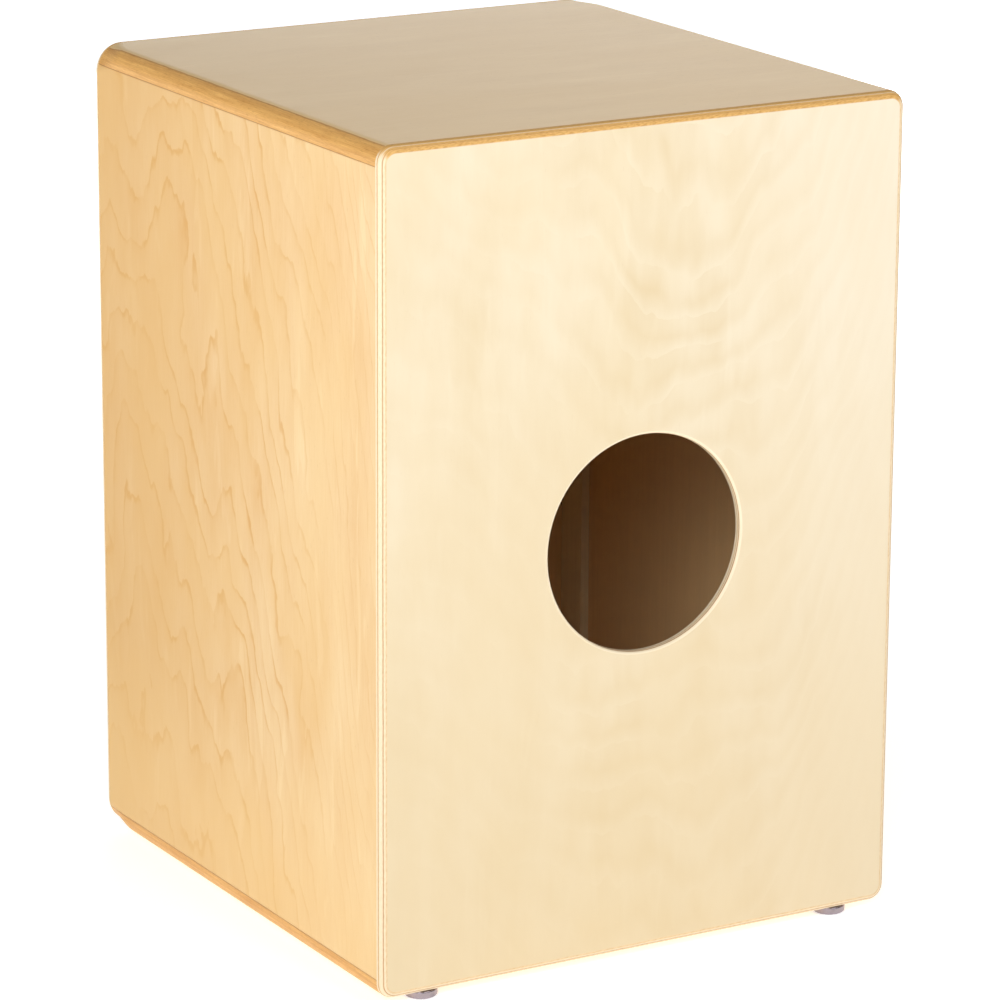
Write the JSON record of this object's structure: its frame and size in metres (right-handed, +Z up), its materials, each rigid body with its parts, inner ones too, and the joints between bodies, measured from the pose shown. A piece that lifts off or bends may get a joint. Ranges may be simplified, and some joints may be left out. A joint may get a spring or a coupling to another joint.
{
  "type": "cajon",
  "caption": "Upright plywood box drum to sit on: thin front playing face, glued rear panel with a round sound hole, string tension adjusters reached from below, domed metal feet.",
  "frame": {"origin": "on the floor plane under the feet, below the middle of the box", "axes": "+Z up; -Y towards the tapa (playing face); +X towards the seated player's left; the rear panel with the sound hole faces +Y"},
  "size_m": [0.35, 0.3586, 0.505],
  "materials": {
    "box_plywood": "satin clear lacquer on birch plywood",
    "panel_plywood": "satin clear lacquer on thin pale birch plywood",
    "strip_wood": "bare softwood strip",
    "anchor_wood": "oiled hardwood block",
    "nickel": "nickel-plated steel, polished",
    "zinc_steel": "zinc-plated steel",
    "black_steel": "black oxide steel",
    "brass": "turned brass",
    "aluminium": "milled aluminium",
    "string_steel": "wound steel snare string"
  },
  "bodies": {
    "box": {"bolt_bush_left": "brass", "bolt_bush_right": "brass", "bottom_board": "box_plywood", "bracket_screw_left_inner": "zinc_steel", "bracket_screw_left_outer": "zinc_steel", "bracket_screw_right_inner": "zinc_steel", "bracket_screw_right_outer": "zinc_steel", "foot_front_left": "nickel", "foot_front_right": "nickel", "foot_nail_front_left": "zinc_steel", "foot_nail_front_right": "zinc_steel", "foot_nail_rear_left": "zinc_steel", "foot_nail_rear_right": "zinc_steel", "foot_rear_left": "nickel", "foot_rear_right": "nickel", "guide_bracket_left": "zinc_steel", "guide_bracket_right": "zinc_steel", "rear_panel": "panel_plywood", "side_panel_left": "box_plywood", "side_panel_right": "box_plywood", "string_anchor_left": "anchor_wood", "string_anchor_right": "anchor_wood", "string_left_inner": "string_steel", "string_left_outer": "string_steel", "string_right_inner": "string_steel", "string_right_outer": "string_steel", "tapa": "panel_plywood", "tapa_screw_bottom_1": "black_steel", "tapa_screw_bottom_2": "black_steel", "tapa_screw_bottom_3": "black_steel", "tapa_screw_bottom_4": "black_steel", "tapa_screw_bottom_5": "black_steel", "tapa_screw_left_1": "black_steel", "tapa_screw_left_2": "black_steel", "tapa_screw_left_3": "black_steel", "tapa_screw_right_1": "black_steel", "tapa_screw_right_2": "black_steel", "tapa_screw_right_3": "black_steel", "tapa_screw_top_1": "black_steel", "tapa_screw_top_2": "black_steel", "tapa_screw_top_3": "black_steel", "tapa_screw_top_4": "black_steel", "tapa_screw_top_5": "black_steel", "tapa_strip_bottom": "strip_wood", "tapa_strip_left": "strip_wood", "tapa_strip_right": "strip_wood", "tapa_strip_top": "strip_wood", "top_board": "box_plywood"},
    "bolt_left": {"tension_bolt_left": "black_steel"},
    "carriage_left": {"string_carriage_left": "aluminium"},
    "bolt_right": {"tension_bolt_right": "black_steel"},
    "carriage_right": {"string_carriage_right": "aluminium"}
  },
  "joints": [
    {"name": "tension_bolt_left_turn", "type": "hinge", "parent": "box", "child": "bolt_left", "pos_m": [0.05, -0.165, 0], "axis": [0, 0, 1], "range_deg": [-721, 1801]},
    {"name": "string_carriage_left_slide", "type": "slide", "parent": "box", "child": "carriage_left", "axis": [0, 0, -1], "range_m": [-0.002, 0.005], "deforming": ["string_left_outer", "string_left_inner"]},
    {"name": "tension_bolt_right_turn", "type": "hinge", "parent": "box", "child": "bolt_right", "pos_m": [-0.05, -0.165, 0], "axis": [0, 0, 1], "range_deg": [-721, 1801]},
    {"name": "string_carriage_right_slide", "type": "slide", "parent": "box", "child": "carriage_right", "axis": [0, 0, -1], "range_m": [-0.002, 0.005], "deforming": ["string_right_outer", "string_right_inner"]}
  ],
  "couplings": [
    {"joint": "tension_bolt_left_turn", "follows": "string_carriage_left_slide", "rad_per_m": 6283.2},
    {"joint": "tension_bolt_right_turn", "follows": "string_carriage_right_slide", "rad_per_m": 6283.2}
  ]
}
